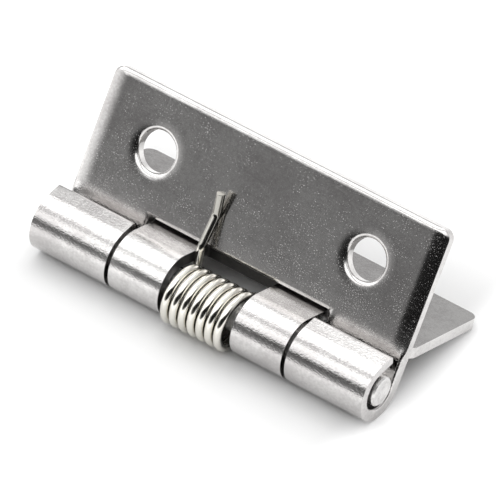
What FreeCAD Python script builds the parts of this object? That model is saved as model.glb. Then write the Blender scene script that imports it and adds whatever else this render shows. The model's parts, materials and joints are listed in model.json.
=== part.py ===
import FreeCAD, Part
import math
import os

# Spring loaded door hinge, in millimetres.
#
# Two stamped leaves of one sheet thickness turn on a plain pin. The upper leaf has the two end
# knuckles and the lower leaf the two inner ones. A torsion spring fills the space between the inner
# knuckles, and a leg at each of its ends pushes on the front face of one leaf.
#
# The leaves cross at the pin, so the spring swings their backs towards each other until the edge of
# each leaf's notch meets the other leaf's back. The hinge is modelled in that free position, lying
# on a flat surface: the barrel and the far edge of the lower leaf touch it, and the upper leaf
# leans back.
#
# X runs along the pin, Y points to the back and Z up. The origin is on the surface, under the
# middle of the hinge.

V = FreeCAD.Vector

# Leaves
LENGTH = 50.8            # along the pin
SHEET = 1.6              # thickness of both leaves
UPPER_WIDTH = 21.0       # pin axis to the far edge of the upper leaf
LOWER_WIDTH = 20.4       # pin axis to the far edge of the lower leaf
CORNER = 1.3             # outer corners of the plates
NOTCH_CORNER = 0.5       # inner corners of the notches
UPPER_EDGE_ROUND = 0.5   # rounded front edges of the upper leaf, left by the punch
LOWER_EDGE_ROUND = 0.15  # the same on the lower leaf

# Screw holes, two in each leaf
HOLE_DIAMETER = 5.4
HOLE_SPACING = 32.0      # between the two holes of one leaf
HOLE_FROM_EDGE = 7.85    # far edge of the leaf to the middle of the holes

# Knuckles
PIN_PLAY = 0.5           # between the pin and the rolled bore
INNER_KNUCKLE = 7.7      # width of each inner knuckle
KNUCKLE_GAP = 0.6        # side gap between neighbouring knuckles
SPRING_GAP = 11.0        # between the two inner knuckles
ROLL_ANGLE = 236.0       # how far the sheet is rolled round the pin, in degrees
TAIL = 2.4               # straight end of the rolled sheet
TAIL_ROUND = 0.5         # worn outer edge of that end

# Pin
PIN_DIAMETER = 4.0
PIN_PROUD = 0.2          # each end of the pin stands this far out of the end knuckle
PIN_CHAMFER = 0.2

# Free position
BACK_ANGLE = 76.0        # between the backs of the leaves when they rest on their stop, in degrees
STOP_GAP = 0.05          # left between a notch edge and the other leaf at the stop

# Torsion spring
WIRE = 1.15
PITCH = 1.35
COILS = 7                # times that the wire passes the front of the pin
COIL_PLAY = 0.99         # between the pin and the inside of the coil
COIL_PLAY_LEFT = 0.02    # what is left of it where the coil hangs on the pin
COIL_HANG = 176.0        # the way the coil hangs off the pin, in degrees from the back over the top
COIL_SHIFT = -0.11       # from the middle of the spring's gap to the middle of the coil

# Legs of the spring, both alike
LEG_LEAN = 17.0          # leaving the coil a leg leans away from its leaf, to clear the notch edge
LEG_RISE = 5.0           # length from the coil to the bend where it turns back to the leaf
LEG_RETURN = 4.35        # along the leaf, from there to the bend that presses on the leaf
LEG_GAP = 0.03           # left between that bend and the front face of the leaf
LEG_TIP = 3.1            # length of the turned out tip
TIP_ANGLE = 17.0         # of the tip to the leaf, in degrees
LEG_BEND = 1.6           # radius of the bends in a leg
LEG_SIDE = 0.1           # side gap between a leg and the knuckle that it runs beside
JOG_START = 1.4          # length from the coil to where a leg turns towards that knuckle
JOG_END = 4.0            # and to where it runs straight beside it

# What follows from the sizes above
pin_radius = PIN_DIAMETER / 2
bore_radius = pin_radius + PIN_PLAY
barrel_radius = bore_radius + SHEET
notch_depth = barrel_radius / math.tan(math.radians(BACK_ANGLE / 2)) + STOP_GAP
half_length = LENGTH / 2
half_gap = SPRING_GAP / 2
inner_end = half_gap + INNER_KNUCKLE
outer_start = inner_end + KNUCKLE_GAP
same = 1e-4              # places closer than this are one place

# The lower leaf slopes from the barrel down to the rounded far edge that it rests on.
edge_reach = LOWER_WIDTH - LOWER_EDGE_ROUND
edge_drop = bore_radius + LOWER_EDGE_ROUND
lower_tilt = (math.asin((barrel_radius - LOWER_EDGE_ROUND) / math.hypot(edge_reach, edge_drop))
              + math.atan2(edge_drop, edge_reach))
upper_tilt = math.radians(BACK_ANGLE) - lower_tilt

wire_radius = WIRE / 2
coil_inner = pin_radius + COIL_PLAY
coil_mean = coil_inner + wire_radius
coil_outer = coil_inner + WIRE
hang = math.radians(COIL_HANG)
coil_y = (COIL_PLAY - COIL_PLAY_LEFT) * math.cos(hang)
coil_z = (COIL_PLAY - COIL_PLAY_LEFT) * math.sin(hang)
lean = math.radians(LEG_LEAN)
tip_turn = math.radians(TIP_ANGLE)
turns = COILS - 0.5 + (BACK_ANGLE + 2 * LEG_LEAN) / 360
coil_start = COIL_SHIFT - turns * PITCH / 2
coil_end = coil_start + turns * PITCH

# The pin axis in the hinge's own frame, with the origin under the middle of the outline
front_reach = min(-barrel_radius, coil_y - coil_outer)
back_reach = LOWER_WIDTH * math.cos(lower_tilt) + barrel_radius * math.sin(lower_tilt)
axis_y = -(front_reach + back_reach) / 2
axis_z = barrel_radius


def lower_point(x, along, out):
    """A point of the lower leaf: along the leaf from the pin axis, and out towards its back."""
    c, s = math.cos(lower_tilt), math.sin(lower_tilt)
    return V(x, axis_y + along * c + out * s, axis_z - along * s + out * c)


def upper_point(x, along, out):
    """A point of the upper leaf: along the leaf from the pin axis, and out towards its back."""
    c, s = math.cos(upper_tilt), math.sin(upper_tilt)
    return V(x, axis_y + along * c + out * s, axis_z + along * s - out * c)


def leaf_section(point, width):
    """Section across the pin: a flat plate, the roll round the pin and its straight tail."""

    def rolled(radius, degrees, beyond=0.0):
        angle = math.radians(degrees)
        along = radius * math.cos(angle) - beyond * math.sin(angle)
        out = radius * math.sin(angle) + beyond * math.cos(angle)
        return point(-half_length, along, out)

    start = 90.0
    middle = start + ROLL_ANGLE / 2
    end = start + ROLL_ANGLE
    back_edge = point(-half_length, width, barrel_radius)
    front_edge = point(-half_length, width, bore_radius)
    outline = [
        Part.Arc(rolled(barrel_radius, start), rolled(barrel_radius, middle), rolled(barrel_radius, end)),
        Part.LineSegment(rolled(barrel_radius, end), rolled(barrel_radius, end, TAIL)),
        Part.LineSegment(rolled(barrel_radius, end, TAIL), rolled(bore_radius, end, TAIL)),
        Part.LineSegment(rolled(bore_radius, end, TAIL), rolled(bore_radius, end)),
        Part.Arc(rolled(bore_radius, end), rolled(bore_radius, middle), rolled(bore_radius, start)),
        Part.LineSegment(rolled(bore_radius, start), front_edge),
        Part.LineSegment(front_edge, back_edge),
        Part.LineSegment(back_edge, rolled(barrel_radius, start)),
    ]
    return Part.Face(Part.Wire([piece.toShape() for piece in outline]))


def notch(point, left, right):
    """Cutter for one notch: it clears the knuckle side from left to right, with rounded corners."""
    reach = 2 * barrel_radius
    near = notch_depth - NOTCH_CORNER
    turn = NOTCH_CORNER * math.sqrt(0.5)
    low = [(left, near), (left, -reach), (right, -reach), (right, near)]
    corners = []
    for x, inward in ((right, -1), (left, 1)):
        centre = x + inward * NOTCH_CORNER
        corners.append([(x, near), (centre - inward * turn, near + turn), (centre, notch_depth)])
    first, second = corners
    second.reverse()

    def at(place):
        return point(place[0], place[1], -reach)

    outline = [Part.LineSegment(at(a), at(b)) for a, b in zip(low, low[1:])]
    outline.append(Part.Arc(*[at(place) for place in first]))
    outline.append(Part.LineSegment(at(first[-1]), at(second[0])))
    outline.append(Part.Arc(*[at(place) for place in second]))
    face = Part.Face(Part.Wire([piece.toShape() for piece in outline]))
    return face.extrude(point(0, 0, reach) - point(0, 0, -reach))


def leaf(point, width, edge_round, notches):
    """One leaf, cut from a full length strip of the section and rounded on its front face."""
    axis = point(0, 0, 0)
    along = (point(0, width, 0) - axis).normalize()
    out = (point(0, 0, width) - axis).normalize()
    solid = leaf_section(point, width).extrude(V(LENGTH, 0, 0))
    solid = solid.cut([notch(point, left, right) for left, right in notches])
    for side in (-1, 1):
        base = point(side * HOLE_SPACING / 2, width - HOLE_FROM_EDGE, 0)
        solid = solid.cut(Part.makeCylinder(HOLE_DIAMETER / 2, 2 * barrel_radius, base, out))

    def measured(edge, direction):
        return [(vertex.Point - axis).dot(direction) for vertex in edge.Vertexes]

    def lies(edge, direction, value):
        return all(abs(place - value) < same for place in measured(edge, direction))

    x_axis = V(1, 0, 0)
    corners = []
    for edge in solid.Edges:
        at_end = lies(edge, x_axis, -half_length) or lies(edge, x_axis, half_length)
        if at_end and (lies(edge, along, width) or lies(edge, along, notch_depth)):
            corners.append(edge)
    solid = solid.makeFillet(CORNER, corners)

    front = []
    for edge in solid.Edges:
        if lies(edge, out, bore_radius) and not lies(edge, along, 0.0):
            front.append(edge)
    solid = solid.makeFillet(edge_round, front)

    end = math.radians(90.0 + ROLL_ANGLE)
    tail_along = barrel_radius * math.cos(end) - TAIL * math.sin(end)
    tail_out = barrel_radius * math.sin(end) + TAIL * math.cos(end)
    tails = []
    for edge in solid.Edges:
        if lies(edge, along, tail_along) and lies(edge, out, tail_out):
            tails.append(edge)
    return solid.makeFillet(TAIL_ROUND, tails)


def hinge_pin():
    """A plain rod with a small chamfer at each end."""
    half = half_length + PIN_PROUD
    rod = Part.makeCylinder(pin_radius, 2 * half, V(-half, axis_y, axis_z), V(1, 0, 0))
    ends = [edge for edge in rod.Edges if edge.BoundBox.XLength < same]
    return rod.makeChamfer(PIN_CHAMFER, ends)


def coil():
    """The close wound turns, from the upper leg's tangent point to the lower leg's."""
    start = upper_tilt + lean - math.pi / 2
    outwards = V(0, math.cos(start), math.sin(start))
    sideways = V(0, -math.sin(start), math.cos(start))
    helix = Part.makeHelix(PITCH, turns * PITCH, coil_mean, 0, True)
    rise = PITCH / (2 * math.pi)
    section = Part.Circle(V(coil_mean, 0, 0), V(0, -coil_mean, rise), wire_radius).toShape()
    body = Part.Wire(helix.Edges).makePipeShell([Part.Wire([section])], True, True)
    turn = FreeCAD.Rotation(outwards, sideways, V(1, 0, 0), "ZXY")
    body.Placement = FreeCAD.Placement(V(coil_start, axis_y + coil_y, axis_z + coil_z), turn)
    return body


def tube(points):
    """A stretch of round wire through the points, with an arc of LEG_BEND at each corner."""
    pieces = []
    here = points[0]
    for before, corner, after in zip(points, points[1:], points[2:]):
        arriving = (corner - before).normalize()
        leaving = (after - corner).normalize()
        half_turn = arriving.getAngle(leaving) / 2
        cut = LEG_BEND * math.tan(half_turn)
        first = corner - arriving * cut
        last = corner + leaving * cut
        towards = (leaving - arriving).normalize()
        middle = corner + towards * (LEG_BEND / math.cos(half_turn) - LEG_BEND)
        pieces.append(Part.LineSegment(here, first).toShape())
        pieces.append(Part.Arc(first, middle, last).toShape())
        here = last
    pieces.append(Part.LineSegment(here, points[-1]).toShape())
    section = Part.Circle(points[0], points[1] - points[0], wire_radius).toShape()
    return Part.Wire(pieces).makePipeShell([Part.Wire([section])], True, False)


def leg(point, tilt, updown, coil_x, hand):
    """One leg, from the coil along the front face of its leaf, beside the knuckle on its hand."""
    c, s = math.cos(tilt), math.sin(tilt)
    along = coil_y * c + updown * coil_z * s + coil_mean * math.sin(lean)
    out = coil_y * s - updown * coil_z * c + coil_mean * math.cos(lean)
    drift = hand * PITCH / (2 * math.pi * coil_mean)
    side = hand * (half_gap - LEG_SIDE - wire_radius)

    def leaning(distance, x):
        return point(x, along + distance * math.cos(lean), out - distance * math.sin(lean))

    press_along = along + LEG_RISE * math.cos(lean) + LEG_RETURN
    press_out = bore_radius - LEG_GAP - wire_radius
    tip_along = press_along + LEG_TIP * math.cos(tip_turn)
    tip_out = press_out - LEG_TIP * math.sin(tip_turn)
    return tube([
        leaning(0, coil_x),
        leaning(JOG_START, coil_x + drift * JOG_START),
        leaning(JOG_END, side),
        leaning(LEG_RISE, side),
        point(side, press_along, press_out),
        point(side, tip_along, tip_out),
    ])


def torsion_spring():
    upper_leg = leg(upper_point, upper_tilt, 1, coil_start, -1)
    lower_leg = leg(lower_point, lower_tilt, -1, coil_end, 1)
    return coil().fuse([upper_leg, lower_leg])


beyond = half_length + 2 * CORNER
upper_notches = [(-outer_start, outer_start)]
lower_notches = [(-beyond, -inner_end), (-half_gap, half_gap), (inner_end, beyond)]
parts = {
    "upper_leaf": leaf(upper_point, UPPER_WIDTH, UPPER_EDGE_ROUND, upper_notches),
    "lower_leaf": leaf(lower_point, LOWER_WIDTH, LOWER_EDGE_ROUND, lower_notches),
    "hinge_pin": hinge_pin(),
    "torsion_spring": torsion_spring(),
}

os.makedirs("parts", exist_ok=True)
for node, shape in parts.items():
    shape.exportStep("parts/" + node + ".step")
    box = shape.optimalBoundingBox()
    print(node, "solids", len(shape.Solids), "faces", len(shape.Faces), "valid", shape.isValid(),
          "volume", round(shape.Volume, 2))
    print("   from", [round(value, 3) for value in (box.XMin, box.YMin, box.ZMin)],
          "to", [round(value, 3) for value in (box.XMax, box.YMax, box.ZMax)])
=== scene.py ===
import bpy
import json
import math
import numpy as np
from bpy.props import FloatProperty, FloatVectorProperty, IntProperty, PointerProperty
from mathutils import Matrix, Vector


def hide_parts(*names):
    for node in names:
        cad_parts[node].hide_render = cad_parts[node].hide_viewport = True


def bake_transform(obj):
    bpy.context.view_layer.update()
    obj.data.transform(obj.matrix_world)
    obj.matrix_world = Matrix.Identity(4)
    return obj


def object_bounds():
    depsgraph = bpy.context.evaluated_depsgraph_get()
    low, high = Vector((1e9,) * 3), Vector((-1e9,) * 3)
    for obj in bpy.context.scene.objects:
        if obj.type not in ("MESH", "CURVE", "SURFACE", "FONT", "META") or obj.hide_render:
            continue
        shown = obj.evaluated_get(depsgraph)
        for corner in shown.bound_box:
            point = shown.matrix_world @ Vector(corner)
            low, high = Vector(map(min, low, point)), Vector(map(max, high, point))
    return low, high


bl_info = {
    "name": "Sprung hinge look",
    "version": (1, 0, 0),
    "blender": (4, 5, 0),
    "location": "3D View > Sidebar > Hinge",
    "description": "Gives a sprung hinge its polished steel, winds its spring and sets the stage for its picture",
    "category": "Object",
}

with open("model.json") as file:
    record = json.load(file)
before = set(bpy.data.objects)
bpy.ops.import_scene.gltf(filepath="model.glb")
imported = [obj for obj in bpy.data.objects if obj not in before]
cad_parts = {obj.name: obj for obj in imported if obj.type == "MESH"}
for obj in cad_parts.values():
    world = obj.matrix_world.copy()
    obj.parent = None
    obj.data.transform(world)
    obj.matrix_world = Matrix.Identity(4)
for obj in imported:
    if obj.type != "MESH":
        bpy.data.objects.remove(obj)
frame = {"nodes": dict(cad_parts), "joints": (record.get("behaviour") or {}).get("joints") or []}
cad_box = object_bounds()
MILLIMETRE = 0.001


# Sizes and colours

class HingeSizes(bpy.types.PropertyGroup):
    """Sizes of the sheet, the holes and the pin that the finishes and the spring follow."""
    length: FloatProperty(name="Length", description="Along the pin", default=0.0508, unit="LENGTH", precision=5)
    sheet: FloatProperty(name="Sheet", description="Thickness of both leaves", default=0.0016, unit="LENGTH",
                         precision=5)
    upper_width: FloatProperty(name="Upper width", description="Pin axis to the far edge of the upper leaf",
                               default=0.021, unit="LENGTH", precision=5)
    lower_width: FloatProperty(name="Lower width", description="Pin axis to the far edge of the lower leaf",
                               default=0.0204, unit="LENGTH", precision=5)
    upper_round: FloatProperty(name="Upper round", description="Radius of the upper leaf's front edges",
                               default=0.0005, unit="LENGTH", precision=5)
    lower_round: FloatProperty(name="Lower round", description="Radius of the lower leaf's front edges",
                               default=0.00015, unit="LENGTH", precision=5)
    hole_diameter: FloatProperty(name="Hole", description="Diameter of the screw holes", default=0.0054,
                                 unit="LENGTH", precision=5)
    hole_spacing: FloatProperty(name="Hole spacing", description="Between the two holes of a leaf", default=0.032,
                                unit="LENGTH", precision=5)
    hole_from_edge: FloatProperty(name="Hole from edge", description="Far edge of the leaf to the hole's middle",
                                  default=0.00785, unit="LENGTH", precision=5)
    notch_half: FloatProperty(name="Notch half", description="Half the width of the upper leaf's notch",
                              default=0.0138, unit="LENGTH", precision=5)
    notch_depth: FloatProperty(name="Notch depth", description="Pin axis to the bottom of that notch",
                               default=0.0053, unit="LENGTH", precision=5)
    pin_diameter: FloatProperty(name="Pin", description="Diameter of the pin", default=0.004, unit="LENGTH",
                                precision=5)
    pin_play: FloatProperty(name="Pin play", description="Between the pin and the rolled bore", default=0.0005,
                            unit="LENGTH", precision=5)
    back_angle: FloatProperty(name="Back angle", description="Between the backs of the leaves at their stop",
                              default=math.radians(76), subtype="ANGLE")


class SpringSizes(bpy.types.PropertyGroup):
    """Sizes of the wire, its turns round the pin and its two legs."""
    gap: FloatProperty(name="Gap", description="Between the inner knuckles", default=0.011, unit="LENGTH",
                       precision=5)
    wire: FloatProperty(name="Wire", description="Diameter of the wire", default=0.00115, unit="LENGTH",
                        precision=5)
    pitch: FloatProperty(name="Pitch", description="From one turn to the next", default=0.00135, unit="LENGTH",
                         precision=5)
    coils: IntProperty(name="Coils", description="Times that the wire passes the front of the pin", default=7)
    play: FloatProperty(name="Play", description="Between the pin and the inside of the coil", default=0.00099,
                        unit="LENGTH", precision=5)
    play_left: FloatProperty(name="Play left", description="What is left of it where the coil hangs on the pin",
                             default=0.00002, unit="LENGTH", precision=5)
    hang: FloatProperty(name="Hang", description="Way the coil hangs off the pin, from the back over the top",
                        default=math.radians(176), subtype="ANGLE")
    shift: FloatProperty(name="Shift", description="Middle of the coil from the middle of its gap",
                         default=-0.00011, unit="LENGTH", precision=5)
    lean: FloatProperty(name="Lean", description="Of a leg away from its leaf, where it leaves the coil",
                        default=math.radians(17), subtype="ANGLE")
    rise: FloatProperty(name="Rise", description="Length of a leg up to where it turns back to its leaf",
                        default=0.005, unit="LENGTH", precision=5)
    back: FloatProperty(name="Return", description="Along the leaf, from there to the bend that presses on it",
                        default=0.00435, unit="LENGTH", precision=5)
    leaf_gap: FloatProperty(name="Leaf gap", description="Between that bend and the leaf", default=0.00003,
                            unit="LENGTH", precision=5)
    tip_length: FloatProperty(name="Tip length", description="Of the turned out tip", default=0.0031,
                              unit="LENGTH", precision=5)
    tip_angle: FloatProperty(name="Tip angle", description="Between the tip and the leaf",
                             default=math.radians(17), subtype="ANGLE")
    bend: FloatProperty(name="Bend", description="Radius of the bends in a leg", default=0.0016, unit="LENGTH",
                        precision=5)
    side: FloatProperty(name="Side", description="Between a leg and the knuckle beside it",
                        default=0.0001, unit="LENGTH", precision=5)
    jog_start: FloatProperty(name="Jog start", description="Length of a leg up to its sideways bend",
                             default=0.0014, unit="LENGTH", precision=5)
    jog_end: FloatProperty(name="Jog end", description="Length of a leg up to where it runs beside the knuckle",
                           default=0.004, unit="LENGTH", precision=5)
    burr: FloatProperty(name="Broken edge", description="Round the cut ends", default=0.00008, unit="LENGTH",
                        precision=5)


class SteelFinish(bpy.types.PropertyGroup):
    """Colours and surface values of the sheet, the pin and the wire."""
    sheet_colour: FloatVectorProperty(name="Sheet", description="Polished sheet", subtype="COLOR", size=3, min=0,
                                      max=1, default=(0.65, 0.64, 0.63))
    sheet_tint: FloatVectorProperty(name="Sheet tint", description="Clouds in the polished sheet", subtype="COLOR",
                                    size=3, min=0, max=1, default=(0.48, 0.465, 0.46))
    sheet_roughness: FloatProperty(name="Sheet roughness", description="Of the plates", default=0.14, min=0,
                                   max=1)
    knuckle_roughness: FloatProperty(name="Knuckle roughness", description="Of the rolled sheet", default=0.09,
                                     min=0, max=1)
    pin_colour: FloatVectorProperty(name="Pin", description="Cut ends and side of the pin", subtype="COLOR",
                                    size=3, min=0, max=1, default=(0.80, 0.79, 0.78))
    pin_roughness: FloatProperty(name="Pin roughness", description="Of the turned surface", default=0.34, min=0,
                                 max=1)
    wire_colour: FloatVectorProperty(name="Wire", description="Bright spring wire", subtype="COLOR", size=3,
                                     min=0, max=1, default=(0.79, 0.77, 0.71))
    wire_roughness: FloatProperty(name="Wire roughness", description="Of the drawn surface", default=0.13, min=0,
                                  max=1)
    end_roll: FloatProperty(name="End roll", description="Width of the sunk border at the two short sides",
                            default=0.0018, unit="LENGTH", precision=5)
    end_slope: FloatProperty(name="End slope", description="Of that border where it meets the rounded edge",
                             default=0.28)
    far_roll: FloatProperty(name="Far roll", description="Width of the sunk border at the far edge",
                            default=0.0006, unit="LENGTH", precision=5)
    hole_roll: FloatProperty(name="Hole roll", description="Width of the sunk border round a hole",
                             default=0.0011, unit="LENGTH", precision=5)
    hole_slope: FloatProperty(name="Hole slope", description="Of the borders at the holes and the far edge",
                              default=0.12)
    notch_roll: FloatProperty(name="Notch roll", description="Width of the sunk border along the notch",
                              default=0.00065, unit="LENGTH", precision=5)
    notch_slope: FloatProperty(name="Notch slope", description="Of that border at the notch", default=0.5)
    peel: FloatProperty(name="Orange peel", description="Height of the grain on the rolled knuckles",
                        default=0.000022, unit="LENGTH", precision=6)


class StudioSizes(bpy.types.PropertyGroup):
    """The floor, the light and the camera."""
    floor: FloatProperty(name="Floor", description="Side of the floor", default=6.0, unit="LENGTH")
    panel_width: FloatProperty(name="Panel width", description="Long side of both light panels", default=0.55,
                               unit="LENGTH")
    panel_depths: FloatVectorProperty(name="Panel depths", description="Of the back panel and the front one", size=2,
                                      default=(0.144, 0.146), unit="LENGTH")
    panel_turn: FloatProperty(name="Panel turn", description="Of their long sides from the pin's direction",
                              default=math.radians(30), subtype="ANGLE")
    back_panel: FloatVectorProperty(name="Back panel", description="Its middle, over the left of the hinge", size=3,
                                    default=(-0.2375, -0.0394, 0.20), unit="LENGTH")
    front_panel: FloatVectorProperty(name="Front panel", description="Its middle, over the front left", size=3,
                                     default=(-0.1355, -0.2168, 0.20), unit="LENGTH")
    panel_level: FloatProperty(name="Panel level", description="Brightness of both panels, where 1 is white",
                               default=1.65)
    floor_glow: FloatProperty(name="Floor glow", description="Light that the open floor adds where it is seen",
                              default=0.5)
    azimuth: FloatProperty(name="Azimuth", description="Of the camera round the hinge",
                           default=math.radians(35.556), subtype="ANGLE")
    elevation: FloatProperty(name="Elevation", description="Of the camera above the floor",
                             default=math.radians(42.314), subtype="ANGLE")
    roll: FloatProperty(name="Roll", description="Of the camera about its own axis", default=math.radians(1.752),
                        subtype="ANGLE")
    distance: FloatProperty(name="Distance", description="From the pin to the camera", default=1.07965,
                            unit="LENGTH", precision=5)
    aside: FloatVectorProperty(name="Aside", description="Camera moved right and up, in its own directions",
                               size=2, default=(0.00448, 0.006579), unit="LENGTH", precision=5)
    lens: FloatProperty(name="Lens", description="Focal length in millimetres", default=634.2)


# Shapes

def pin_axis():
    """The middle of the pin: where the record puts the leaf's joint."""
    return np.array(frame["joints"][0]["pos_m"], float)


def leaf_slopes(sizes):
    """Slopes of the upper and the lower leaf, in radians.

    The lower leaf runs from the barrel down to its rounded far edge. With the barrel radius over the
    floor, its slope is asin of (barrel radius - edge round) over the distance from the pin to the middle
    of that round, plus the angle that the middle lies off the leaf's own line. The upper leaf's slope is
    the angle between the backs less that.
    """
    bore = sizes.pin_diameter / 2 + sizes.pin_play
    barrel = bore + sizes.sheet
    reach = sizes.lower_width - sizes.lower_round
    drop = bore + sizes.lower_round
    lower = math.asin((barrel - sizes.lower_round) / math.hypot(reach, drop)) + math.atan2(drop, reach)
    return sizes.back_angle - lower, lower


def rounded_line(corners, bend):
    """Points along straight runs that are joined by arcs of radius bend.

    An arc starts bend * tan(half its turn) before its corner. With a the arriving direction and n the
    direction at right angles to it towards the leaving one, its centre is start + bend * n, and its
    points are centre - bend * cos(t) * n + bend * sin(t) * a, with t from 0 to the turn.
    """
    runs = [corners[0][None, :]]
    for before, corner, after in zip(corners, corners[1:], corners[2:]):
        arriving = (corner - before) / np.linalg.norm(corner - before)
        leaving = (after - corner) / np.linalg.norm(after - corner)
        turn = math.acos(np.clip(arriving @ leaving, -1, 1))
        across = leaving - arriving * (arriving @ leaving)
        across /= np.linalg.norm(across)
        start = corner - arriving * bend * math.tan(turn / 2)
        t = np.linspace(0, turn, 12)[:, None]
        runs.append(start + bend * (across * (1 - np.cos(t)) + arriving * np.sin(t)))
    runs.append(corners[-1][None, :])
    return np.concatenate(runs)


def spread(points, step):
    """The same line with points no further apart than step, by linear steps between its points."""
    lengths = np.concatenate([[0], np.cumsum(np.linalg.norm(np.diff(points, axis=0), axis=1))])
    even = np.arange(0, lengths[-1], step)
    places = np.unique(np.concatenate([lengths, even]).round(9))
    return np.stack([np.interp(places, lengths, points[:, k]) for k in range(3)], axis=1)


def wire_line(hinge, spring):
    """Centre line of the spring's wire, from the tip of the upper leg to the tip of the lower one.

    The coil is a left-handed helix round a line beside the pin's: with s from 0 to 1, the angle is
    start - 2 pi * turns * s, x is first + turns * pitch * s, and the point lies the mean radius from that
    line. In its leaf's directions, along the leaf and out to its back, a leg starts at the coil's middle
    plus mean radius * (sin lean, cos lean). It goes on by (cos lean, -sin lean) up to its turn, from there
    to the bend under the front face, and along (cos, -sin) of the tip's angle to its end.
    """
    upper, lower = leaf_slopes(hinge)
    axis = pin_axis()
    bore = hinge.pin_diameter / 2 + hinge.pin_play
    mean = hinge.pin_diameter / 2 + spring.play + spring.wire / 2
    off = (spring.play - spring.play_left) * np.array([math.cos(spring.hang), math.sin(spring.hang)])
    turns = spring.coils - 0.5 + (hinge.back_angle + 2 * spring.lean) / (2 * math.pi)
    first = spring.shift - turns * spring.pitch / 2
    last = first + turns * spring.pitch

    s = np.linspace(0, 1, int(turns * 110))
    angle = upper + spring.lean - math.pi / 2 - 2 * math.pi * turns * s
    coil = np.stack([first + turns * spring.pitch * s, axis[1] + off[0] + mean * np.cos(angle),
                     axis[2] + off[1] + mean * np.sin(angle)], axis=1)

    def leg(slope, updown, coil_x, hand):
        """Centre line of one leg: coil, sideways jog, turn, bend on the leaf and tip."""
        c, n = math.cos(slope), math.sin(slope)
        start = np.array([off[0] * c + updown * off[1] * n, off[0] * n - updown * off[1] * c])
        start += mean * np.array([math.sin(spring.lean), math.cos(spring.lean)])
        leaning = np.array([math.cos(spring.lean), -math.sin(spring.lean)])
        turn = start + spring.rise * leaning
        press = np.array([turn[0] + spring.back, bore - spring.leaf_gap - spring.wire / 2])
        tip = press + spring.tip_length * np.array([math.cos(spring.tip_angle), -math.sin(spring.tip_angle)])
        drift = hand * spring.pitch / (2 * math.pi * mean)
        side = hand * (spring.gap / 2 - spring.side - spring.wire / 2)
        x = np.array([coil_x, coil_x + drift * spring.jog_start, side, side, side, side])
        jogs = [start + spring.jog_start * leaning, start + spring.jog_end * leaning]
        along, out = np.array([start, *jogs, turn, press, tip]).T
        corners = np.stack([x, axis[1] + along * c + out * n, axis[2] + updown * (along * n - out * c)], axis=1)
        return spread(rounded_line(corners, spring.bend), spring.wire / 4)

    rising = leg(upper, 1, first, -1)[::-1]
    falling = leg(lower, -1, last, 1)
    return np.concatenate([rising[:-1], coil, falling[1:]]), first, last


def wire_mesh(name, line, radius, tip, around=40):
    """A round wire along a line, closed at both cut ends.

    With t the unit tangent, n = X less its part along t, made unit, and b = t cross n, a point of the
    surface is line + radius * (cos v * n + sin v * b). Near each end the radius falls by the broken edge.
    Its map is length over circumference one way and turns round the wire the other.
    """
    steps = tip * np.array([0.0, 0.35, 1.0])
    less = tip * np.array([1.0, 0.3, 0.0])
    start = line[0] + steps[:, None] * (line[1] - line[0]) / np.linalg.norm(line[1] - line[0])
    end = line[-1] + steps[::-1, None] * (line[-2] - line[-1]) / np.linalg.norm(line[-2] - line[-1])
    line = np.concatenate([start, line[1:-1], end])
    radii = np.full(len(line), radius)
    radii[:3] -= less
    radii[-3:] -= less[::-1]
    tangent = np.gradient(line, axis=0)
    tangent /= np.linalg.norm(tangent, axis=1)[:, None]
    x_axis = np.array([1.0, 0.0, 0.0])
    normal = x_axis - tangent * (tangent @ x_axis)[:, None]
    normal /= np.linalg.norm(normal, axis=1)[:, None]
    side = np.cross(tangent, normal)
    v = np.linspace(0, 2 * math.pi, around, endpoint=False)
    ring = np.cos(v)[None, :, None] * normal[:, None, :] + np.sin(v)[None, :, None] * side[:, None, :]
    points = line[:, None, :] + radii[:, None, None] * ring

    rows = len(line)
    i, j = np.meshgrid(np.arange(rows - 1), np.arange(around), indexing="ij")
    k = (j + 1) % around
    quads = np.stack([i * around + j, i * around + k, (i + 1) * around + k, (i + 1) * around + j], axis=-1)
    first_cap = np.arange(around)[::-1]
    last_cap = (rows - 1) * around + np.arange(around)
    faces = quads.reshape(-1, 4).tolist() + [first_cap.tolist(), last_cap.tolist()]
    mesh = bpy.data.meshes.new(name)
    mesh.from_pydata(points.reshape(-1, 3).tolist(), [], faces)

    lengths = np.concatenate([[0], np.cumsum(np.linalg.norm(np.diff(line, axis=0), axis=1))])
    lengths /= 2 * math.pi * radius
    u = np.stack([lengths[i], lengths[i], lengths[i + 1], lengths[i + 1]], axis=-1)
    w = np.stack([j, j + 1, j + 1, j], axis=-1) / around
    body = np.stack([u, w], axis=-1).reshape(-1, 2)
    caps = np.stack([np.cos(v), np.sin(v)], axis=-1) * 0.1
    layer = mesh.uv_layers.new(name="Wire")
    layer.data.foreach_set("uv", np.concatenate([body, caps, caps]).astype(np.float32).ravel())
    mesh.shade_smooth()
    mesh.set_sharp_from_angle(angle=math.radians(50))
    return mesh


# Shader nodes

def put(tree, kind, inputs, **settings):
    """A new node with its settings, and with values or other nodes' sockets on its inputs."""
    node = tree.nodes.new(kind)
    for name, value in settings.items():
        setattr(node, name, value)
    for name, value in inputs.items():
        if isinstance(value, bpy.types.NodeSocket):
            tree.links.new(value, node.inputs[name])
        else:
            node.inputs[name].default_value = value
    return node


def calc(tree, operation, *values):
    """The result of a maths node."""
    return put(tree, "ShaderNodeMath", dict(enumerate(values)), operation=operation).outputs[0]


def ease(tree, value, low, high, start=0.0, end=1.0):
    """A smooth step of the value, from start at low to end at high."""
    inputs = {"Value": value, "From Min": low, "From Max": high, "To Min": start, "To Max": end}
    return put(tree, "ShaderNodeMapRange", inputs, interpolation_type="SMOOTHSTEP").outputs["Result"]


def noise(tree, vector, scale, detail=2.0, roughness=0.5):
    """The grey value of a noise texture."""
    inputs = {"Vector": vector, "Scale": scale, "Detail": detail, "Roughness": roughness}
    return put(tree, "ShaderNodeTexNoise", inputs).outputs["Fac"]


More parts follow.
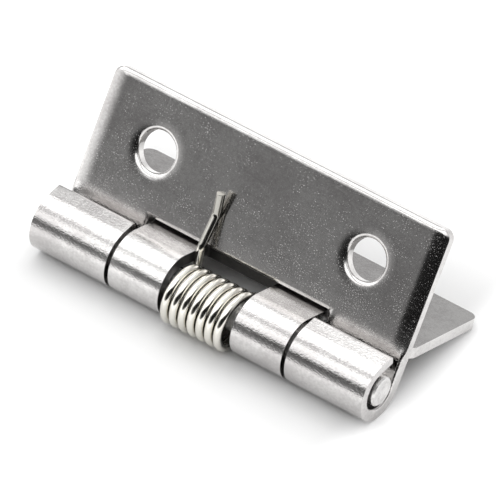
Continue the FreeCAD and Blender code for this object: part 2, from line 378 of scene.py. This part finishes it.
def stretched(tree, vector, scale, turn=(0.0, 0.0, 0.0)):
    """The vector turned and stretched."""
    inputs = {"Vector": vector, "Rotation": turn, "Scale": scale}
    return put(tree, "ShaderNodeMapping", inputs).outputs["Vector"]


def group(name, takes, gives):
    """A new shader node group with its input and output nodes. Takes are (label, default)."""
    tree = bpy.data.node_groups.new(name, "ShaderNodeTree")
    for label, default in takes:
        kind = "NodeSocketVector" if default is None else "NodeSocketFloat"
        socket = tree.interface.new_socket(label, in_out="INPUT", socket_type=kind)
        if default is not None:
            socket.default_value = default
    for label in gives:
        tree.interface.new_socket(label, in_out="OUTPUT", socket_type="NodeSocketFloat")
    return tree, tree.nodes.new("NodeGroupInput").outputs, tree.nodes.new("NodeGroupOutput").inputs


def placed(tree, name, inputs):
    """The outputs of a shader node group that is placed in a material."""
    node = tree.nodes.new("ShaderNodeGroup")
    node.node_tree = bpy.data.node_groups[name]
    for label, value in inputs.items():
        if isinstance(value, bpy.types.NodeSocket):
            tree.links.new(value, node.inputs[label])
        else:
            node.inputs[label].default_value = value
    return node.outputs


def make_edge_roll():
    """Punched edges: the front face sinks by slope * width / 2 * (1 - gap / width) squared near an edge.

    The sinking ends on the rounded edge itself, which makes the round look flatter and its corner
    sharper, as a punch leaves them. Place is across, along and out of the leaf in millimetres, seen
    from the pin.
    """
    tree, here, there = group("Edge roll", [
        ("Place", None), ("Half Length", 25.4), ("Leaf Width", 21.0), ("Hole Across", 16.0),
        ("Hole Along", 13.15), ("Hole Radius", 2.7), ("Front", 2.5), ("Round", 0.5), ("End Roll", 1.8),
        ("End Slope", 0.28), ("Far Roll", 0.6), ("Hole Roll", 1.1), ("Hole Slope", 0.12),
        ("Notch Half", 13.8), ("Notch Depth", 5.3), ("Notch Roll", 0.65), ("Notch Slope", 0.38),
    ], ["Height", "Plate", "Front"])
    place = put(tree, "ShaderNodeSeparateXYZ", {"Vector": here["Place"]}).outputs
    across = calc(tree, "ABSOLUTE", place["X"])
    along = place["Y"]
    out = calc(tree, "ABSOLUTE", place["Z"])
    aside = calc(tree, "SUBTRACT", across, here["Hole Across"])
    beyond = calc(tree, "SUBTRACT", along, here["Hole Along"])
    squares = calc(tree, "ADD", calc(tree, "MULTIPLY", aside, aside), calc(tree, "MULTIPLY", beyond, beyond))
    notch = calc(tree, "MAXIMUM", calc(tree, "SUBTRACT", across, here["Notch Half"]),
                 calc(tree, "SUBTRACT", along, here["Notch Depth"]))
    edges = [
        (calc(tree, "SUBTRACT", here["Half Length"], across), here["End Roll"], here["End Slope"]),
        (calc(tree, "SUBTRACT", here["Leaf Width"], along), here["Far Roll"], here["Hole Slope"]),
        (calc(tree, "SUBTRACT", calc(tree, "SQRT", squares), here["Hole Radius"]), here["Hole Roll"], here["Hole Slope"]),
        (calc(tree, "ADD", notch, here["Round"]), here["Notch Roll"], here["Notch Slope"]),
    ]
    sunk = 0.0
    for gap, width, slope in edges:
        gap = calc(tree, "SUBTRACT", gap, here["Round"])
        share = calc(tree, "MAXIMUM", calc(tree, "SUBTRACT", 1.0, calc(tree, "DIVIDE", gap, width)), 0.0)
        square = calc(tree, "MULTIPLY", share, share)
        half = calc(tree, "MULTIPLY", calc(tree, "MULTIPLY", width, slope), 0.5)
        sunk = calc(tree, "SUBTRACT", sunk, calc(tree, "MULTIPLY", square, half))
    turned = calc(tree, "DIVIDE", calc(tree, "SUBTRACT", out, here["Front"]), here["Round"])
    turned = calc(tree, "MINIMUM", calc(tree, "MAXIMUM", turned, 0.0), 1.0)
    plate = ease(tree, along, 4.0, 6.0)
    front = calc(tree, "MULTIPLY", plate, calc(tree, "SUBTRACT", 1.0, turned))
    tree.links.new(plate, there["Plate"])
    tree.links.new(front, there["Front"])
    tree.links.new(calc(tree, "MULTIPLY", sunk, front), there["Height"])


def make_pits():
    """Fine specks: a fine noise above a level, which falls where a coarse noise and the cover are high."""
    tree, here, there = group("Pits", [("Place", None), ("Grain", 6.0), ("Cover", 0.5)], ["Mask"])
    fine = noise(tree, here["Place"], here["Grain"], 1.0, 0.55)
    patches = noise(tree, here["Place"], 0.30, 3.0, 0.6)
    level = calc(tree, "SUBTRACT", 1.22, calc(tree, "ADD", here["Cover"], calc(tree, "MULTIPLY", patches, 0.32)))
    tree.links.new(ease(tree, fine, level, calc(tree, "ADD", level, 0.07)), there["Mask"])


def make_peel():
    """Orange peel of bent sheet: a coarse and a fine grain, drawn out a little along the pin."""
    tree, here, there = group("Orange peel", [("Place", None), ("Grain", 4.2)], ["Height"])
    drawn = stretched(tree, here["Place"], (0.7, 1.0, 1.0))
    coarse = noise(tree, drawn, here["Grain"], 2.0, 0.6)
    fine = noise(tree, drawn, calc(tree, "MULTIPLY", here["Grain"], 2.6), 1.0, 0.5)
    tree.links.new(calc(tree, "ADD", coarse, calc(tree, "MULTIPLY", fine, 0.45)), there["Height"])


def make_hairlines():
    """Handling scratches: thin crests of two stretched noises, where a coarse noise lets them show."""
    tree, here, there = group("Hairlines", [("Place", None), ("Density", 0.5)], ["Mask"])
    shown = ease(tree, noise(tree, here["Place"], 0.22, 2.0), 0.48, 0.62)
    lines = 0.0
    for turn, scale in ((0.55, (0.30, 5.0, 1.0)), (-0.95, (0.24, 4.2, 1.0))):
        streaks = noise(tree, stretched(tree, here["Place"], scale, (0.0, 0.0, turn)), 1.0, 0.0)
        off = calc(tree, "ABSOLUTE", calc(tree, "SUBTRACT", streaks, 0.5))
        lines = calc(tree, "MAXIMUM", lines, ease(tree, off, 0.004, 0.022, 1.0, 0.0))
    shown = calc(tree, "MULTIPLY", shown, here["Density"])
    tree.links.new(calc(tree, "MULTIPLY", lines, shown), there["Mask"])


def make_clouds():
    """Uneven polish: a coarse noise and two finer ones, added."""
    tree, here, there = group("Clouds", [("Place", None), ("Size", 0.1)], ["Value"])
    coarse = noise(tree, here["Place"], here["Size"], 2.0, 0.5)
    finer = noise(tree, here["Place"], calc(tree, "MULTIPLY", here["Size"], 6.0), 3.0, 0.6)
    finest = noise(tree, here["Place"], calc(tree, "MULTIPLY", here["Size"], 26.0), 2.0, 0.6)
    mixed = calc(tree, "ADD", calc(tree, "MULTIPLY", coarse, 0.45), calc(tree, "MULTIPLY", finer, 0.25))
    mixed = calc(tree, "ADD", mixed, calc(tree, "MULTIPLY", finest, 0.3))
    tree.links.new(ease(tree, mixed, 0.36, 0.64), there["Value"])


def make_streaks():
    """Rolling marks: noises drawn out along the first direction of the place, one coarse and one fine."""
    tree, here, there = group("Streaks", [("Place", None), ("Stretch", 12.0)], ["Coarse", "Fine"])
    pulled = calc(tree, "DIVIDE", 1.0, here["Stretch"])
    scale = put(tree, "ShaderNodeCombineXYZ", {"X": pulled, "Y": 1.0, "Z": 1.0}).outputs["Vector"]
    drawn = put(tree, "ShaderNodeVectorMath", {0: here["Place"], 1: scale}, operation="MULTIPLY").outputs[0]
    tree.links.new(noise(tree, drawn, 1.1, 2.0, 0.6), there["Coarse"])
    tree.links.new(noise(tree, drawn, 5.5, 2.0, 0.6), there["Fine"])


def new_material(name):
    """A material with its Principled shader, and the node tree that feeds it."""
    material = bpy.data.materials.new(name)
    material.use_nodes = True
    tree = material.node_tree
    return material, tree, tree.nodes["Principled BSDF"]


def blended(tree, amount, first, second):
    """A mix of two colours by amount."""
    inputs = {"Factor": amount, "A": (*first, 1.0), "B": (*second, 1.0)}
    node = tree.nodes.new("ShaderNodeMix")
    node.data_type = "RGBA"
    tree.links.new(inputs["Factor"], node.inputs["Factor"])
    node.inputs[6].default_value = inputs["A"]
    node.inputs[7].default_value = inputs["B"]
    return node.outputs[2]


def sheet_material(name, slope, width, edge_round, hinge, finish, cover, shade_depth, gap, notch):
    """Polished stainless sheet: sunk borders and specks on the plate, grain on the rolled knuckles. Its colour is
    darkened as painted shade inside the bore, on the cut faces by the notch and, on the lower leaf, near the fold
    and within the spring's gap.
    """
    material, tree, shader = new_material(name)
    here = put(tree, "ShaderNodeTexCoord", {}).outputs["Object"]
    place = put(tree, "ShaderNodeMapping", {
        "Vector": here,
        "Location": tuple(pin_axis()),
        "Rotation": (slope, 0.0, 0.0),
        "Scale": (MILLIMETRE, MILLIMETRE, MILLIMETRE),
    }, vector_type="TEXTURE").outputs["Vector"]
    roll = placed(tree, "Edge roll", {
        "Place": place,
        "Half Length": hinge.length / 2 / MILLIMETRE,
        "Leaf Width": width / MILLIMETRE,
        "Hole Across": hinge.hole_spacing / 2 / MILLIMETRE,
        "Hole Along": (width - hinge.hole_from_edge) / MILLIMETRE,
        "Hole Radius": hinge.hole_diameter / 2 / MILLIMETRE,
        "Front": (hinge.pin_diameter / 2 + hinge.pin_play) / MILLIMETRE,
        "Round": edge_round / MILLIMETRE,
        "End Roll": finish.end_roll / MILLIMETRE * edge_round / hinge.upper_round,
        "Far Roll": finish.far_roll / MILLIMETRE,
        "Hole Roll": finish.hole_roll / MILLIMETRE,
        "End Slope": finish.end_slope,
        "Hole Slope": finish.hole_slope,
        "Notch Half": notch / MILLIMETRE,
        "Notch Depth": hinge.notch_depth / MILLIMETRE,
        "Notch Roll": finish.notch_roll / MILLIMETRE,
        "Notch Slope": finish.notch_slope,
    })
    plate = roll["Plate"]
    clouds = placed(tree, "Clouds", {"Place": place, "Size": 0.11})["Value"]
    spot = put(tree, "ShaderNodeSeparateXYZ", {"Vector": place}).outputs
    worn = calc(tree, "ADD", cover, calc(tree, "MULTIPLY", spot["X"], 0.0005))
    worn = calc(tree, "ADD", worn, ease(tree, spot["Y"], 6.0, 18.0, 0.01, -0.02))
    pits = calc(tree, "MULTIPLY", placed(tree, "Pits", {"Place": place, "Cover": worn})["Mask"], roll["Front"])
    lines = placed(tree, "Hairlines", {"Place": place, "Density": 0.35})["Mask"]
    streaks = placed(tree, "Streaks", {"Place": place, "Stretch": 10.0})
    peel = placed(tree, "Orange peel", {"Place": place})["Height"]
    foot = calc(tree, "MULTIPLY", ease(tree, spot["Y"], 4.3, 5.2), ease(tree, spot["Y"], 5.4, 9.0, 1.0, 0.0))
    square = calc(tree, "ADD", calc(tree, "MULTIPLY", spot["Y"], spot["Y"]), calc(tree, "MULTIPLY", spot["Z"], spot["Z"]))
    bore = (hinge.pin_diameter / 2 + hinge.pin_play) / MILLIMETRE
    # Painted shade: the colour darkens on the sheet just inside the bore.
    inside = ease(tree, calc(tree, "SQRT", square), bore + 0.02, bore + 0.12, 1.0, 0.0)
    # Painted shade on the cut faces near the barrel: full beside the spring's gap, about a third of it further out,
    # none near the leaf's ends.
    under = calc(tree, "SUBTRACT", calc(tree, "ABSOLUTE", spot["Z"]), bore)
    barrel = bore + hinge.sheet / MILLIMETRE
    cut = calc(tree, "MULTIPLY", ease(tree, under, 0.05, 0.25), ease(tree, under, 1.3, 1.5, 1.0, 0.0))
    cut = calc(tree, "MULTIPLY", cut, ease(tree, spot["Y"], barrel, barrel + 0.2))
    cut = calc(tree, "MULTIPLY", cut, ease(tree, spot["Y"], barrel + 1.4, barrel + 1.6, 1.0, 0.0))
    middle = calc(tree, "ABSOLUTE", spot["X"])
    cut = calc(tree, "MULTIPLY", cut, ease(tree, middle, 5.2, 6.4, 1.0, 0.35))
    cut = calc(tree, "MULTIPLY", cut, ease(tree, middle, 23.0, 24.0, 1.0, 0.0))
    # Painted shade near the fold on the lower leaf, by the notch and the spring's gap; its strength is 0.85 on the
    # lower leaf and none on the upper one.
    painted_crease_shade = calc(tree, "MULTIPLY", ease(tree, spot["Y"], 5.5, 6.3, shade_depth, 0.0), ease(tree, middle, 5.5, 9.0, 1.0, 0.0))
    painted_crease_shade = calc(tree, "MULTIPLY", painted_crease_shade, ease(tree, spot["Y"], barrel + 0.1, barrel + 1.2))
    # Painted shade on the lower leaf within the spring's gap, also on the knuckle ends that face it.
    half_gap = gap / 2 / MILLIMETRE
    facing = calc(tree, "MULTIPLY", ease(tree, middle, half_gap + 0.03, half_gap + 0.1, shade_depth, 0.0),
                  ease(tree, spot["Y"], barrel + 0.3, barrel + 0.9, 1.0, 0.0))
    painted_crease_shade = calc(tree, "MAXIMUM", painted_crease_shade, facing)
    inside = calc(tree, "MAXIMUM", inside, calc(tree, "MAXIMUM", cut, painted_crease_shade))

    colour = blended(tree, clouds, finish.sheet_colour, finish.sheet_tint)
    # Where the painted shade is full, the colour falls to a fifth.
    shaded_colour = put(tree, "ShaderNodeVectorMath", {0: colour, "Scale": ease(tree, inside, 0.0, 1.0, 1.0, 0.2)},
               operation="SCALE").outputs[0]
    tree.links.new(shaded_colour, shader.inputs["Base Color"])
    shader.inputs["Metallic"].default_value = 1.0
    rough = ease(tree, plate, 0.0, 1.0, finish.knuckle_roughness, finish.sheet_roughness)
    rough = calc(tree, "ADD", rough, calc(tree, "MULTIPLY", streaks["Coarse"], 0.03))
    rough = calc(tree, "ADD", rough, calc(tree, "MULTIPLY", pits, 0.17))
    rough = calc(tree, "ADD", rough, calc(tree, "MULTIPLY", lines, 0.15))
    rough = calc(tree, "ADD", rough, calc(tree, "MULTIPLY", foot, 0.09))
    rough = calc(tree, "ADD", rough, calc(tree, "MULTIPLY", inside, 0.3))
    tree.links.new(rough, shader.inputs["Roughness"])

    rolled = calc(tree, "MULTIPLY", calc(tree, "SUBTRACT", 1.0, plate), finish.peel / MILLIMETRE)
    fine = calc(tree, "MULTIPLY", streaks["Fine"], 0.003)
    fine = calc(tree, "SUBTRACT", fine, calc(tree, "MULTIPLY", pits, 0.0045))
    fine = calc(tree, "ADD", fine, calc(tree, "MULTIPLY", peel, rolled))
    fine = calc(tree, "ADD", fine, calc(tree, "MULTIPLY", streaks["Coarse"], calc(tree, "MULTIPLY", rolled, 0.5)))
    height = calc(tree, "ADD", roll["Height"], fine)
    bump = put(tree, "ShaderNodeBump", {"Height": height, "Distance": MILLIMETRE, "Strength": 1.0})
    tree.links.new(bump.outputs["Normal"], shader.inputs["Normal"])
    return material


def pin_material(name, finish):
    """Turned steel: specks, clouds and fine marks round the side."""
    material, tree, shader = new_material(name)
    here = put(tree, "ShaderNodeTexCoord", {}).outputs["Object"]
    place = put(tree, "ShaderNodeMapping", {
        "Vector": here,
        "Location": tuple(pin_axis()),
        "Scale": (MILLIMETRE, MILLIMETRE, MILLIMETRE),
    }, vector_type="TEXTURE").outputs["Vector"]
    clouds = placed(tree, "Clouds", {"Place": place, "Size": 0.5})["Value"]
    pits = placed(tree, "Pits", {"Place": place, "Grain": 2.6, "Cover": 0.52})["Mask"]
    tint = tuple(0.72 * value for value in finish.pin_colour)
    tree.links.new(blended(tree, clouds, finish.pin_colour, tint), shader.inputs["Base Color"])
    shader.inputs["Metallic"].default_value = 1.0
    rough = calc(tree, "ADD", finish.pin_roughness, calc(tree, "MULTIPLY", pits, 0.25))
    tree.links.new(rough, shader.inputs["Roughness"])
    marks = noise(tree, stretched(tree, place, (6.0, 1.0, 1.0)), 1.6, 2.0)
    height = calc(tree, "SUBTRACT", calc(tree, "MULTIPLY", marks, 0.03), calc(tree, "MULTIPLY", pits, 0.03))
    bump = put(tree, "ShaderNodeBump", {"Height": height, "Distance": MILLIMETRE, "Strength": 1.0})
    tree.links.new(bump.outputs["Normal"], shader.inputs["Normal"])
    return material


def wire_material(name, finish):
    """Bright drawn wire: die lines along its length, from the wire's own map. The legs, away from the coil, get
    about half its colour as painted shade.
    """
    material, tree, shader = new_material(name)
    place = put(tree, "ShaderNodeUVMap", {}, uv_map="Wire").outputs["UV"]
    lines = noise(tree, stretched(tree, place, (0.6, 14.0, 1.0)), 1.0, 2.0)
    clouds = placed(tree, "Clouds", {"Place": place, "Size": 0.8})["Value"]
    tint = tuple(0.88 * value for value in finish.wire_colour)
    # Painted shade: the legs, beyond 5.1 to 5.8 mm from the pin's axis, take 0.48 of the coil's colour.
    here = put(tree, "ShaderNodeTexCoord", {}).outputs["Object"]
    off = put(tree, "ShaderNodeVectorMath", {0: here, 1: tuple(pin_axis())}, operation="SUBTRACT").outputs[0]
    off = put(tree, "ShaderNodeVectorMath", {0: off, 1: (0.0, 1.0, 1.0)}, operation="MULTIPLY").outputs[0]
    away = put(tree, "ShaderNodeVectorMath", {0: off}, operation="LENGTH").outputs["Value"]
    colour = blended(tree, clouds, finish.wire_colour, tint)
    shaded_colour = put(tree, "ShaderNodeVectorMath", {0: colour, "Scale": ease(tree, away, 0.0051, 0.0058, 1.0, 0.48)},
               operation="SCALE").outputs[0]
    tree.links.new(shaded_colour, shader.inputs["Base Color"])
    shader.inputs["Metallic"].default_value = 1.0
    rough = calc(tree, "ADD", finish.wire_roughness, calc(tree, "MULTIPLY", lines, 0.06))
    tree.links.new(rough, shader.inputs["Roughness"])
    height = calc(tree, "MULTIPLY", lines, 0.004)
    bump = put(tree, "ShaderNodeBump", {"Height": height, "Distance": MILLIMETRE, "Strength": 1.0})
    tree.links.new(bump.outputs["Normal"], shader.inputs["Normal"])
    return material


# Operators

class HINGE_OT_make_surfaces(bpy.types.Operator):
    """Build the shader node groups that the finishes share"""
    bl_idname = "hinge.make_surfaces"
    bl_label = "Make surfaces"

    def execute(self, context):
        for make in (make_edge_roll, make_pits, make_peel, make_hairlines, make_clouds, make_streaks):
            make()
        return {"FINISHED"}


class HINGE_OT_dress_leaves(bpy.types.Operator):
    """Give both leaves their polished stainless sheet"""
    bl_idname = "hinge.dress_leaves"
    bl_label = "Dress leaves"

    def execute(self, context):
        hinge = context.scene.hinge_sizes
        finish = context.scene.hinge_finish
        gap = context.scene.hinge_spring.gap
        upper, lower = leaf_slopes(hinge)
        looks = {
            # The values after the covers set the painted shade by the spring's gap: none on the upper leaf, 0.85 on
            # the lower one.
            "upper_leaf": sheet_material("upper_sheet", upper, hinge.upper_width, hinge.upper_round, hinge, finish, 0.39, 0.0, gap, hinge.notch_half),
            "lower_leaf": sheet_material("lower_sheet", -lower, hinge.lower_width, hinge.lower_round, hinge, finish, 0.34, 0.85, gap, -1.0),
        }
        for node, look in looks.items():
            leaf = frame["nodes"][node]
            leaf.material_slots[0].material = look
        return {"FINISHED"}


class HINGE_OT_dress_pin(bpy.types.Operator):
    """Give the pin its turned steel"""
    bl_idname = "hinge.dress_pin"
    bl_label = "Dress pin"

    def execute(self, context):
        pin = frame["nodes"]["hinge_pin"]
        pin.material_slots[0].material = pin_material("turned_pin", context.scene.hinge_finish)
        return {"FINISHED"}


class HINGE_OT_wind_spring(bpy.types.Operator):
    """Wind the torsion spring that sits between its two leaves"""
    bl_idname = "hinge.wind_spring"
    bl_label = "Wind spring"

    def execute(self, context):
        spring = context.scene.hinge_spring
        line, first, last = wire_line(context.scene.hinge_sizes, spring)
        mesh = wire_mesh("wound_spring", line, spring.wire / 2, spring.burr)
        mesh.materials.append(wire_material("spring_wire", context.scene.hinge_finish))
        piece = bpy.data.objects.new("wound_spring", mesh)
        context.scene.collection.objects.link(piece)
        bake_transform(piece)
        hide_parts("torsion_spring")
        return {"FINISHED"}


class HINGE_OT_set_stage(bpy.types.Operator):
    """Lay the pale floor, hang the soft light and place the camera"""
    bl_idname = "hinge.set_stage"
    bl_label = "Set stage"

    def execute(self, context):
        scene = context.scene
        studio = scene.hinge_studio
        lay_floor(scene, studio)
        paint_surroundings(scene)
        hang_panels(scene, studio)
        place_camera(scene, studio)
        scene.view_settings.view_transform = "Standard"
        return {"FINISHED"}


def lay_floor(scene, studio):
    """A flat white floor. Away from the hinge it shows camera and glossy rays more light than it sends back; near
    the hinge that glow is left out, which paints a grey shade round the hinge that reaches further in front and
    behind than beside and lies a little to the left.
    """
    half = studio.floor / 2
    mesh = bpy.data.meshes.new("floor")
    mesh.from_pydata([(-half, -half, 0), (half, -half, 0), (half, half, 0), (-half, half, 0)], [], [(0, 1, 2, 3)])
    material, tree, shader = new_material("floor_white")
    shader.inputs["Base Color"].default_value = (0.78, 0.78, 0.78, 1.0)
    shader.inputs["Roughness"].default_value = 1.0
    shader.inputs["Specular IOR Level"].default_value = 0.0
    shader.inputs["Emission Color"].default_value = (1.0, 1.0, 1.0, 1.0)
    place = put(tree, "ShaderNodeTexCoord", {}).outputs["Object"]
    x, y, _ = put(tree, "ShaderNodeSeparateXYZ", {"Vector": place}).outputs
    # Painted shade round the hinge: the glow is left out from its left end to 4 mm short of its right end, and rises
    # slowly in front and behind.
    reach = [max(abs(corner[axis]) for corner in cad_box) for axis in (0, 1)]
    beside = calc(tree, "SUBTRACT", calc(tree, "ABSOLUTE", calc(tree, "ADD", x, 0.002)), reach[0] - 0.002)
    beside = calc(tree, "MULTIPLY", calc(tree, "MAXIMUM", beside, 0.0), 1.5)
    before = calc(tree, "MAXIMUM", calc(tree, "SUBTRACT", calc(tree, "ABSOLUTE", y), reach[1]), 0.0)
    before = calc(tree, "MULTIPLY", before, 0.4)
    square = calc(tree, "ADD", calc(tree, "MULTIPLY", beside, beside), calc(tree, "MULTIPLY", before, before))
    open_floor = ease(tree, calc(tree, "SQRT", square), 0.0, 0.011)
    rays = put(tree, "ShaderNodeLightPath", {}).outputs
    seen = calc(tree, "MAXIMUM", rays["Is Camera Ray"], rays["Is Glossy Ray"])
    glow = calc(tree, "MULTIPLY", calc(tree, "MULTIPLY", seen, open_floor), studio.floor_glow)
    tree.links.new(glow, shader.inputs["Emission Strength"])
    mesh.materials.append(material)
    floor = bpy.data.objects.new("floor", mesh)
    scene.collection.objects.link(floor)


def paint_surroundings(scene):
    """A plain studio as grey levels by direction. Camera rays meet white.

    The back is mid grey and lighter overhead, the left is pale, and the front darkens upwards from the
    horizon. The front right, up to well over the horizon, is nearly black.
    """
    world = bpy.data.worlds.new("studio")
    world.use_nodes = True
    scene.world = world
    tree = world.node_tree
    way = put(tree, "ShaderNodeTexCoord", {}).outputs["Generated"]
    x, y, z = put(tree, "ShaderNodeSeparateXYZ", {"Vector": way}).outputs
    back = calc(tree, "ADD", 0.57, ease(tree, z, 0.35, 0.70, 0.0, 0.48))
    front = ease(tree, z, 0.02, 0.42, 0.45, 0.14)
    share = ease(tree, y, -0.70, -0.35)
    level = calc(tree, "ADD", calc(tree, "MULTIPLY", back, share),
                 calc(tree, "MULTIPLY", front, calc(tree, "SUBTRACT", 1.0, share)))
    left = calc(tree, "MULTIPLY", ease(tree, x, -0.85, -0.50, 0.95, 0.0), ease(tree, y, -0.40, 0.0, 1.0, 0.1))
    level = calc(tree, "ADD", level, left)
    dark = calc(tree, "MULTIPLY", ease(tree, x, -0.41, -0.27), ease(tree, y, -0.15, 0.15, 1.0, 0.0))
    dark = calc(tree, "MULTIPLY", dark, ease(tree, z, 0.60, 0.75, 0.95, 0.0))
    level = calc(tree, "MULTIPLY", level, calc(tree, "SUBTRACT", 1.0, dark))
    seen = put(tree, "ShaderNodeLightPath", {}).outputs["Is Camera Ray"]
    level = calc(tree, "MAXIMUM", level, seen)
    tree.links.new(level, tree.nodes["Background"].inputs["Strength"])
    tree.nodes["Background"].inputs["Color"].default_value = (1.0, 1.0, 1.0, 1.0)


def hang_panels(scene, studio):
    """Two flat lamps side by side, which point straight down. Power is pi * area * level."""
    places = {"back_panel": studio.back_panel, "front_panel": studio.front_panel}
    for (name, place), depth in zip(places.items(), studio.panel_depths):
        lamp = bpy.data.lights.new(name, "AREA")
        lamp.shape = "RECTANGLE"
        lamp.size = studio.panel_width
        lamp.size_y = depth
        lamp.energy = math.pi * studio.panel_width * depth * studio.panel_level
        holder = bpy.data.objects.new(name, lamp)
        holder.location = place
        holder.rotation_euler = (0.0, 0.0, studio.panel_turn)
        holder.visible_camera = False
        scene.collection.objects.link(holder)


def place_camera(scene, studio):
    """The camera on a sphere round the pin, turned by its roll and then moved aside in its own plane."""
    a, e, r = studio.azimuth, studio.elevation, studio.roll
    back = Vector((math.sin(a) * math.cos(e), -math.cos(a) * math.cos(e), math.sin(e)))
    level = Vector((math.cos(a), math.sin(a), 0.0))
    upright = back.cross(level)
    right = level * math.cos(r) + upright * math.sin(r)
    up = back.cross(right)
    place = Vector(pin_axis()) + back * studio.distance + right * studio.aside[0] + up * studio.aside[1]
    camera = bpy.data.cameras.new("camera")
    camera.lens = studio.lens
    camera.sensor_width = 36.0
    camera.clip_start = 0.05
    camera.clip_end = 20.0
    holder = bpy.data.objects.new("camera", camera)
    turn = Matrix((right, up, back)).transposed().to_4x4()
    holder.matrix_world = Matrix.Translation(place) @ turn
    scene.collection.objects.link(holder)
    scene.camera = holder


class HINGE_PT_panel(bpy.types.Panel):
    """Buttons and values of the hinge"""
    bl_idname = "HINGE_PT_panel"
    bl_label = "Sprung hinge"
    bl_space_type = "VIEW_3D"
    bl_region_type = "UI"
    bl_category = "Hinge"

    def draw(self, context):
        for operator in STEPS:
            self.layout.operator(operator.bl_idname)
        for name in GROUPS:
            box = self.layout.box()
            values = getattr(context.scene, name)
            for key in values.__annotations__:
                box.prop(values, key)


GROUPS = {
    "hinge_sizes": HingeSizes,
    "hinge_spring": SpringSizes,
    "hinge_finish": SteelFinish,
    "hinge_studio": StudioSizes,
}
STEPS = (
    HINGE_OT_make_surfaces,
    HINGE_OT_dress_leaves,
    HINGE_OT_dress_pin,
    HINGE_OT_wind_spring,
    HINGE_OT_set_stage,
)


def register():
    for kind in (*GROUPS.values(), *STEPS, HINGE_PT_panel):
        bpy.utils.register_class(kind)
    for name, kind in GROUPS.items():
        setattr(bpy.types.Scene, name, PointerProperty(type=kind))


def unregister():
    for name in GROUPS:
        delattr(bpy.types.Scene, name)
    for kind in (HINGE_PT_panel, *reversed(STEPS), *reversed(GROUPS.values())):
        bpy.utils.unregister_class(kind)


def main():
    register()
    bpy.ops.hinge.make_surfaces()
    bpy.ops.hinge.dress_leaves()
    bpy.ops.hinge.dress_pin()
    bpy.ops.hinge.wind_spring()
    bpy.ops.hinge.set_stage()


if __name__ == "__main__":
    main()
